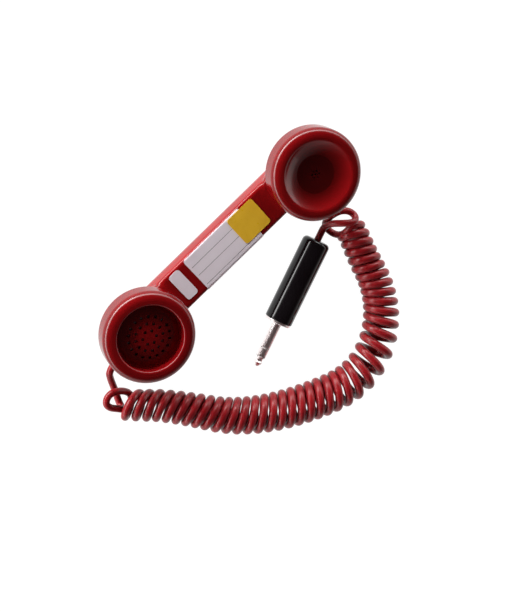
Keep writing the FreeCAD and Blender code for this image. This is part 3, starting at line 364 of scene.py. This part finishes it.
def near(tree, coordinate, centre, half_width):
    """1 within half_width of centre and 0 elsewhere, both in millimetres."""
    away = tree.math("ABSOLUTE", tree.math("SUBTRACT", coordinate, centre * MM))
    return tree.math("LESS_THAN", away, half_width * MM)


def label_white():
    """A satin white film with worn ruled lines along the handle."""
    material, tree, inputs = principled("label_white", PAPER, Roughness=0.38)
    along, across, up = tree.parts(tree.place())
    ruled = 0.0
    for rule in RULES:
        ruled = tree.math("MAXIMUM", ruled, near(tree, across, rule, RULE_HALF_WIDTH))
    middle = (RULES_LOW + RULES_HIGH) / 2
    ruled = tree.math("MULTIPLY", ruled, near(tree, along, middle, RULES_HIGH - middle))
    ruled = tree.math("MULTIPLY", ruled, tree.math("GREATER_THAN", up, LABEL_FACE_HEIGHT * MM))
    worn = tree.vary(tree.noise(1500.0, 3.0, 0.7), 1.0, 0.75)
    mix = tree.add("ShaderNodeMix", data_type="RGBA")
    tree.link(tree.math("MULTIPLY", ruled, worn), mix.inputs["Factor"])
    tree.link(tree.tones(tree.noise(45.0, 5.0), PAPER, PAPER_LIGHT), mix.inputs["A"])
    mix.inputs["B"].default_value = (*INK, 1)
    tree.link(mix.outputs["Result"], inputs["Base Color"])
    bump(tree, inputs, tree.noise(700.0), 0.1, 0.0001)
    return material


def label_yellow():
    material, tree, inputs = principled("label_yellow", YELLOW, Roughness=0.34)
    tree.link(tree.tones(tree.noise(90.0, 5.0, 0.6), YELLOW_SHADE, YELLOW), inputs["Base Color"])
    tree.link(tree.vary(tree.noise(600.0, 4.0), 0.26, 0.46), inputs["Roughness"])
    bump(tree, inputs, tree.noise(900.0), 0.12, 0.0001)
    return material


def materials():
    """One material for each finish slot of the record, and a darker red for the two caps."""
    made = {name: plastic(name, *values) for name, values in PLASTICS.items()}
    made.update({name: metal(name, *values) for name, values in METALS.items()})
    made.update({name: matt(name, *values) for name, values in MATT.items()})
    made.update({"cord_vinyl": cord_vinyl(), "label_white": label_white(), "label_yellow": label_yellow()})
    # The caps' red gets painted shade in the middle of the ear dish
    paint_ear_dish_shade(made["red_caps"])
    return made


def dress_nodes():
    for row in frame["record"]["subparts"]:
        coats = nodes[row["node"]].data.materials
        coats.clear()
        cap = row["node"] in ("receiver_cap", "transmitter_cap")
        coats.append(finishes["red_caps" if cap else row["material_slot"]])


# The cord: the handset's lead, the coil and the tail into the plug, all one spline.
# The coil's last turns and the tail follow the photograph more closely than the solid's do.

WIRE = 4.5
EXIT_HEIGHT = 13.0
EXIT_ANGLE = 194.0
INNER_END = 10.0
STRAIGHT_END = 33.5
LEAD_ROUTE = [(-106.2, -14.0, 8.0)]
START_ROUTE = [(-109.6, -23.6, 4.2), (-113.0, -31.2, 2.6), (-114.2, -34.2, 3.8), (-114.8, -35.6, 7.1),
               (-115.3, -34.1, 10.2), (-116.8, -31.0, 11.6), (-119.5, -27.2, 12.2), (-119.6, -23.0, 12.9),
               (-116.0, -20.2, 13.3), (-111.4, -20.6, 12.5), (-107.6, -24.2, 10.5), (-105.2, -29.0, 7.5),
               (-104.9, -34.0, 4.2)]
CURL_AXIS = [(-111.1, -34.4), (-105, -41.3), (-96, -51), (-84, -68), (-71, -89), (-51, -107.5),
             (-26, -122.5), (1, -134), (26, -130.5), (46, -115.5), (57.5, -96.5), (62.5, -75), (67, -61),
             (68.5, -54.5)]
TAIL_ROUTE = [(62.0, -53.6, 13.5), (58.6, -52.4, 6.0), (57.7, -46.4, 3.2), (59.2, -40.8, 7.5),
              (64.2, -38.6, 12.3), (70.5, -39.6, 14.5), (75.0, -44.6, 13.5), (75.4, -49.6, 15.6),
              (71.5, -49.8, 20.5), (65.8, -45.0, 19.5), (61.0, -41.8, 14.4)]
PLUG_REAR = (47.93, -45.51, 9.1)
PLUG_ANGLE = 201.5
PLUG_RUN = (-9.5, -4.5, 5.5, 36.5)

CURL_TURNS = 39.5
START_PHASE = -math.pi / 2
END_DIAMETER = 19.5
SWELL = 6.0
SWELL_POWER = 1.5
START_PITCH = 6.3
FINISH_PITCH = 5.5
FAN = 3.6
FAN_PLACE = 0.66
FAN_SPREAD = 22.0
SIDE_LEAN = 1.4
START_LEAN = -5.0
FINISH_LEAN = 3.5
FLOOR_GAP = 0.05
POINTS_A_TURN = 20

# The wound jacket is drawn out to its neighbour turns, thicker than the bare wire
WOUND_WIRE = 5.4
TURN_CLEARANCE = 0.08
WIDENING_POINTS = 12


def nurbs(name, points):
    """A curve of one open spline with these points as its control points."""
    curve = bpy.data.curves.new(name, "CURVE")
    curve.dimensions = "3D"
    spline = curve.splines.new("NURBS")
    spline.points.add(len(points) - 1)
    for point, place in zip(spline.points, points):
        point.co = (*place, 1)
    spline.order_u = 3
    spline.use_endpoint_u = True
    return curve, spline


def axis_line():
    """Close points on the smooth axis of the coil, seen from above."""
    curve, spline = nurbs("route", [(x, y, 0) for x, y in CURL_AXIS])
    spline.resolution_u = 64
    carrier = bpy.data.objects.new("route", curve)
    mesh = bpy.data.meshes.new_from_object(carrier)
    line = [vertex.co.copy() for vertex in mesh.vertices]
    bpy.data.objects.remove(carrier)
    bpy.data.curves.remove(curve)
    bpy.data.meshes.remove(mesh)
    return line


class Curl:
    """The coil's helix round its axis."""

    def __init__(self):
        self.line = axis_line()
        self.far = [0.0]
        for before, after in zip(self.line, self.line[1:]):
            self.far.append(self.far[-1] + (after - before).length)
        self.length = self.far[-1]
        density = [1 / self.pitch(far) for far in self.far]
        self.turned = [0.0]
        for number in range(1, len(self.far)):
            step = self.far[number] - self.far[number - 1]
            self.turned.append(self.turned[-1] + step * (density[number - 1] + density[number]) / 2)

    def pitch(self, far):
        """The distance between turns, which fan out round one place of the coil."""
        share = far / self.length
        base = START_PITCH * (1 - share) + FINISH_PITCH * share
        off = (share - FAN_PLACE) * self.length / FAN_SPREAD
        return base + FAN * math.exp(-off ** 2)

    def place(self, turn, grow):
        """The point after this many turns, with grow widening the radius for a control point."""
        wanted = self.turned[-1] * turn / CURL_TURNS
        last = len(self.line) - 1
        number = min(max(bisect_left(self.turned, wanted), 1), last)
        part = (wanted - self.turned[number - 1]) / (self.turned[number] - self.turned[number - 1])
        centre = self.line[number - 1].lerp(self.line[number], part)
        along = (self.line[min(number + 1, last)] - self.line[max(number - 2, 0)]).normalized()
        inward = Vector((-along.y, along.x, 0))
        far = self.far[number - 1] + (self.far[number] - self.far[number - 1]) * part
        swell = max(math.sin(math.pi * far / self.length), 0) ** SWELL_POWER
        diameter = END_DIAMETER + SWELL * swell
        radius = (diameter - WIRE) / 2
        phase = START_PHASE - 2 * math.pi * turn
        lean = START_LEAN + (FINISH_LEAN - START_LEAN) * far / self.length
        spot = centre + inward * (radius * grow * math.cos(phase))
        spot += along * (SIDE_LEAN * math.cos(phase) + lean * math.sin(phase))
        height = diameter / 2 + FLOOR_GAP + (WOUND_WIRE - WIRE) / 2
        spot.z = height + radius * (1 + (grow - 1) / 2) * math.sin(phase)
        return spot


def along_exit(distance):
    turn = math.radians(EXIT_ANGLE)
    return Vector((-CUP_SPACING / 2 + distance * math.cos(turn), distance * math.sin(turn), EXIT_HEIGHT))


def along_plug(distance):
    turn = math.radians(PLUG_ANGLE)
    return Vector(PLUG_REAR) + distance * Vector((math.cos(turn), math.sin(turn), 0))


def jacket_widths(turns):
    """How thick the wound jacket is at each point, as shares of the bare wire."""
    widths = []
    last = len(turns) - 1
    for number, spot in enumerate(turns):
        beside = [other for other in (number - POINTS_A_TURN, number + POINTS_A_TURN) if 0 <= other <= last]
        room = min((turns[other] - spot).length for other in beside) - TURN_CLEARANCE
        spread = max(WIRE, min(WOUND_WIRE, room))
        share = min(1.0, number / WIDENING_POINTS, (last - number) / WIDENING_POINTS)
        widths.append(1 + (spread / WIRE - 1) * share)
    return widths


def cord_points():
    """The cord's control points in millimetres and its thickness at each."""
    # A spline runs inside its control points, so those of the helix lie a little further out.
    grow = 4 / (3 + math.cos(2 * math.pi / POINTS_A_TURN))
    curl = Curl()
    count = int(CURL_TURNS * POINTS_A_TURN)
    turns = [curl.place(number / POINTS_A_TURN, grow) for number in range(count + 1)]
    before = [along_exit(INNER_END), along_exit(STRAIGHT_END)]
    before += [Vector(point) for point in LEAD_ROUTE + START_ROUTE]
    after = [Vector(point) for point in TAIL_ROUTE]
    after += [along_plug(distance) for distance in PLUG_RUN]
    widths = [1.0] * len(before) + jacket_widths(turns) + [1.0] * len(after)
    return before + turns + after, widths


def cord():
    points, widths = cord_points()
    curve, spline = nurbs("handset_cord", [point * MM for point in points])
    for point, width in zip(spline.points, widths):
        point.radius = width
    spline.resolution_u = 4
    curve.bevel_depth = WIRE / 2 * MM
    curve.bevel_resolution = 7
    curve.use_fill_caps = True
    curve.materials.append(finishes["cord_vinyl"])
    piece = bpy.data.objects.new("handset_cord", curve)
    bpy.context.collection.objects.link(piece)
    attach(piece, "root")
    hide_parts("cord_handset_lead", "cord_curls")


# The handle: a copy of its solid with the moulded blends softened

HANDLE_VOXEL = 0.7
SOFTENING = 0.5
SOFTENING_PASSES = 10
WELD_DISTANCE = 0.001


def handle():
    copy = nodes["handle_shell"].data.copy()
    form = bmesh.new()
    form.from_mesh(copy)
    bmesh.ops.remove_doubles(form, verts=form.verts, dist=WELD_DISTANCE * MM)
    form.to_mesh(copy)
    form.free()
    carrier = bpy.data.objects.new("handle_carrier", copy)
    bpy.context.collection.objects.link(carrier)
    remesh = carrier.modifiers.new("remesh", "REMESH")
    remesh.mode = "VOXEL"
    remesh.voxel_size = HANDLE_VOXEL * MM
    smooth = carrier.modifiers.new("smooth", "SMOOTH")
    smooth.factor = SOFTENING
    smooth.iterations = SOFTENING_PASSES
    shape = bpy.data.meshes.new_from_object(carrier.evaluated_get(bpy.context.evaluated_depsgraph_get()))
    bpy.data.objects.remove(carrier)
    shape.shade_smooth()
    shape.materials.clear()
    shape.materials.append(finishes["red_plastic"])
    piece = bpy.data.objects.new("handle_moulding", shape)
    bpy.context.collection.objects.link(piece)
    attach(piece, "root")
    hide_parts("handle_shell")


bpy.context.scene.view_settings.view_transform = "Standard"
camera()
world()
floor()
lamps()
finishes = materials()
dress_nodes()
cord()
handle()
